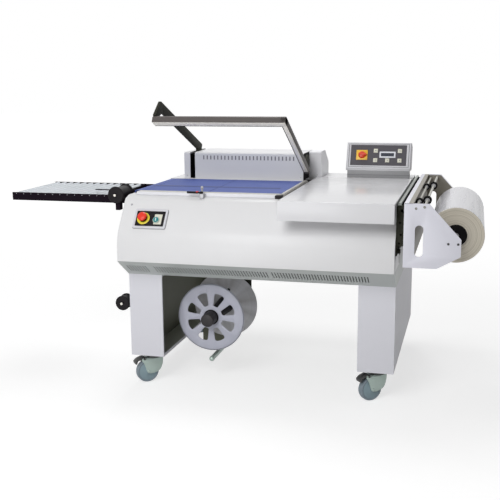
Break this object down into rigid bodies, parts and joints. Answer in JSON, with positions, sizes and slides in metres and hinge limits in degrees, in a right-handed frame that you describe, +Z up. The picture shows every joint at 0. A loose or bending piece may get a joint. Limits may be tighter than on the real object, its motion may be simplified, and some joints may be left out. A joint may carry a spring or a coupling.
{
  "type": "shrink film wrapping machine",
  "caption": "Semi-automatic L-bar sealer on castors: swinging seal bars over a belt, film unwinder, packing tray, roller exit table and scrap winder.",
  "frame": {"origin": "on the floor, below the middle of the machine's overall length and depth", "axes": "+X to the operator's right along the length, +Y to the rear, +Z up"},
  "size_m": [2.03, 1.092, 1.2204],
  "materials": {
    "painted_sheet": "powder coat, satin",
    "painted_gloss": "stoved enamel, glossy",
    "dark_frame": "dark olive-black paint, satin",
    "steel": "zinc plated and turned steel",
    "cast_metal": "cast, matte",
    "bar_metal": "anodised, satin",
    "pad_rubber": "silicone, matte",
    "belt_cloth": "blue belt, satin",
    "key_green": "lit cap, glossy",
    "key_red": "cap, glossy",
    "button_red": "moulded, glossy",
    "button_green": "moulded, glossy",
    "label_cream": "moulded, matte",
    "black_plastic": "moulded, matte",
    "film": "wound clear film",
    "spool_grey": "moulded, satin",
    "zinc": "pressed, zinc plated",
    "wheel_grey": "tyre and wheel, grey"
  },
  "bodies": {
    "machine": {"left_leg": "painted_sheet", "right_leg": "painted_sheet", "main_frame": "dark_frame", "base_pan": "painted_sheet", "front_panel": "painted_sheet", "side_and_rear_panels": "painted_sheet", "deck_plate": "painted_sheet", "conveyor_bed": "steel", "conveyor_belt": "belt_cloth", "gear_motor": "dark_frame", "seal_base": "bar_metal", "seal_pads": "pad_rubber", "arm_bearings": "cast_metal", "hood_left": "painted_sheet", "hood_centre": "painted_sheet", "hood_right": "painted_sheet", "control_box": "painted_sheet", "station_plate": "label_cream", "stop_post": "black_plastic", "product_tray": "painted_gloss", "film_guide_frame": "dark_frame", "unwinder_bracket": "painted_sheet", "mandrel": "steel", "exit_table_frame": "painted_sheet", "exit_rollers": "steel", "winder_bracket": "dark_frame", "pulley_brackets": "steel"},
    "sealing_arm": {"bridge_arm": "dark_frame", "seal_bar_frame": "bar_metal", "seal_strips": "bar_metal", "arm_shaft": "steel"},
    "drive_roller_body": {"drive_roller": "steel"},
    "idle_roller_body": {"idle_roller": "steel"},
    "main_switch_knob_body": {"main_switch_knob": "button_red"},
    "estop_button_body": {"estop_button": "button_red"},
    "start_button_body": {"start_button": "button_green"},
    "stop_lever_body": {"stop_lever": "black_plastic"},
    "feed_roller_left_body": {"feed_roller_left": "steel"},
    "feed_roller_right_body": {"feed_roller_right": "steel"},
    "film_roll_body": {"film_roll": "film"},
    "scrap_spool_body": {"scrap_spool": "spool_grey", "spool_core": "black_plastic"},
    "dancer_arm_body": {"dancer_arm": "steel"},
    "upper_pulley_body": {"upper_pulley": "black_plastic"},
    "lower_pulley_body": {"lower_pulley": "black_plastic"},
    "key_1_body": {"key_1": "key_green"},
    "key_2_body": {"key_2": "key_red"},
    "key_3_body": {"key_3": "key_green"},
    "key_4_body": {"key_4": "key_green"},
    "key_5_body": {"key_5": "key_red"},
    "front_left_swivel": {"front_left_castor_fork": "zinc"},
    "front_left_roll": {"front_left_castor_wheel": "wheel_grey"},
    "front_left_brake": {"front_left_castor_pedal": "zinc"},
    "front_right_swivel": {"front_right_castor_fork": "zinc"},
    "front_right_roll": {"front_right_castor_wheel": "wheel_grey"},
    "front_right_brake": {"front_right_castor_pedal": "zinc"},
    "rear_left_swivel": {"rear_left_castor_fork": "zinc"},
    "rear_left_roll": {"rear_left_castor_wheel": "wheel_grey"},
    "rear_right_swivel": {"rear_right_castor_fork": "zinc"},
    "rear_right_roll": {"rear_right_castor_wheel": "wheel_grey"}
  },
  "joints": [
    {"name": "arm_hinge", "type": "hinge", "parent": "machine", "child": "sealing_arm", "pos_m": [0, 0.262, 0.92], "axis": [1, 0, 0], "range_deg": [0, 26.7], "stiffness_Nm_per_rad": 22, "springref_deg": -74.48},
    {"name": "drive_roller_spin", "type": "hinge", "parent": "machine", "child": "drive_roller_body", "pos_m": [-0.4, -0.071, 0.824], "axis": [0, 1, 0], "continuous": true},
    {"name": "idle_roller_spin", "type": "hinge", "parent": "machine", "child": "idle_roller_body", "pos_m": [0.148, -0.071, 0.824], "axis": [0, 1, 0], "continuous": true},
    {"name": "key_1_press", "type": "slide", "parent": "machine", "child": "key_1_body", "axis": [0, 0.9171, -0.3987], "range_m": [0, 0.0015], "stiffness_N_per_m": 600},
    {"name": "key_2_press", "type": "slide", "parent": "machine", "child": "key_2_body", "axis": [0, 0.9171, -0.3987], "range_m": [0, 0.0015], "stiffness_N_per_m": 600},
    {"name": "key_3_press", "type": "slide", "parent": "machine", "child": "key_3_body", "axis": [0, 0.9171, -0.3987], "range_m": [0, 0.0015], "stiffness_N_per_m": 600},
    {"name": "key_4_press", "type": "slide", "parent": "machine", "child": "key_4_body", "axis": [0, 0.9171, -0.3987], "range_m": [0, 0.0015], "stiffness_N_per_m": 600},
    {"name": "key_5_press", "type": "slide", "parent": "machine", "child": "key_5_body", "axis": [0, 0.9171, -0.3987], "range_m": [0, 0.0015], "stiffness_N_per_m": 600},
    {"name": "main_switch_turn", "type": "hinge", "parent": "machine", "child": "main_switch_knob_body", "pos_m": [0.445, 0.3623, 0.9527], "axis": [0, 0.9171, -0.3987], "range_deg": [0, 90]},
    {"name": "estop_press", "type": "slide", "parent": "machine", "child": "estop_button_body", "axis": [0, 0.7987, -0.6017], "range_m": [0, 0.006]},
    {"name": "start_press", "type": "slide", "parent": "machine", "child": "start_button_body", "axis": [0, 0.7987, -0.6017], "range_m": [0, 0.003], "stiffness_N_per_m": 400},
    {"name": "stop_lever_turn", "type": "hinge", "parent": "machine", "child": "stop_lever_body", "pos_m": [-0.121, -0.379, 0.85], "axis": [0, 0, 1], "range_deg": [0, 90]},
    {"name": "feed_right_spin", "type": "hinge", "parent": "machine", "child": "feed_roller_right_body", "pos_m": [0.791, 0, 0.837], "axis": [0, 1, 0], "continuous": true},
    {"name": "feed_left_spin", "type": "hinge", "parent": "machine", "child": "feed_roller_left_body", "pos_m": [0.76, 0, 0.831], "axis": [0, 1, 0], "continuous": true},
    {"name": "film_roll_spin", "type": "hinge", "parent": "machine", "child": "film_roll_body", "pos_m": [0.905, 0.027, 0.702], "axis": [0, 1, 0], "continuous": true},
    {"name": "scrap_spool_spin", "type": "hinge", "parent": "machine", "child": "scrap_spool_body", "pos_m": [-0.125, -0.14, 0.288], "axis": [0, 1, 0], "continuous": true},
    {"name": "dancer_swing", "type": "hinge", "parent": "machine", "child": "dancer_arm_body", "pos_m": [-0.125, -0.015, 0.232], "axis": [0, 1, 0], "range_deg": [-40, 40]},
    {"name": "upper_pulley_spin", "type": "hinge", "parent": "machine", "child": "upper_pulley_body", "pos_m": [-0.507, -0.309, 0.83], "axis": [0, 1, 0], "continuous": true},
    {"name": "lower_pulley_spin", "type": "hinge", "parent": "machine", "child": "lower_pulley_body", "pos_m": [-0.486, -0.356, 0.362], "axis": [0, 1, 0], "continuous": true},
    {"name": "front_left_castor_turn", "type": "hinge", "parent": "machine", "child": "front_left_swivel", "pos_m": [-0.373, -0.314, 0.12], "axis": [0, 0, 1], "continuous": true},
    {"name": "front_left_wheel_spin", "type": "hinge", "parent": "front_left_swivel", "child": "front_left_roll", "pos_m": [-0.39905, -0.33586, 0.05], "axis": [-0.6428, 0.766, 0], "continuous": true},
    {"name": "front_left_brake_press", "type": "hinge", "parent": "front_left_swivel", "child": "front_left_brake", "pos_m": [-0.41283, -0.34742, 0.109], "axis": [-0.6428, 0.766, 0], "range_deg": [-12, 0], "stiffness_Nm_per_rad": 1.5, "springref_deg": 17.19},
    {"name": "front_right_castor_turn", "type": "hinge", "parent": "machine", "child": "front_right_swivel", "pos_m": [0.609, -0.314, 0.12], "axis": [0, 0, 1], "continuous": true},
    {"name": "front_right_wheel_spin", "type": "hinge", "parent": "front_right_swivel", "child": "front_right_roll", "pos_m": [0.58295, -0.33586, 0.05], "axis": [-0.6428, 0.766, 0], "continuous": true},
    {"name": "front_right_brake_press", "type": "hinge", "parent": "front_right_swivel", "child": "front_right_brake", "pos_m": [0.56917, -0.34742, 0.109], "axis": [-0.6428, 0.766, 0], "range_deg": [-12, 0], "stiffness_Nm_per_rad": 1.5, "springref_deg": 17.19},
    {"name": "rear_left_castor_turn", "type": "hinge", "parent": "machine", "child": "rear_left_swivel", "pos_m": [-0.373, 0.464, 0.12], "axis": [0, 0, 1], "continuous": true},
    {"name": "rear_left_wheel_spin", "type": "hinge", "parent": "rear_left_swivel", "child": "rear_left_roll", "pos_m": [-0.39905, 0.44215, 0.05], "axis": [-0.6428, 0.766, 0], "continuous": true},
    {"name": "rear_right_castor_turn", "type": "hinge", "parent": "machine", "child": "rear_right_swivel", "pos_m": [0.609, 0.464, 0.12], "axis": [0, 0, 1], "continuous": true},
    {"name": "rear_right_wheel_spin", "type": "hinge", "parent": "rear_right_swivel", "child": "rear_right_roll", "pos_m": [0.58295, 0.44215, 0.05], "axis": [-0.6428, 0.766, 0], "continuous": true}
  ],
  "couplings": [
    {"joint": "idle_roller_spin", "follows": "drive_roller_spin", "ratio": 1},
    {"joint": "feed_left_spin", "follows": "feed_right_spin", "ratio": -1.1719}
  ]
}
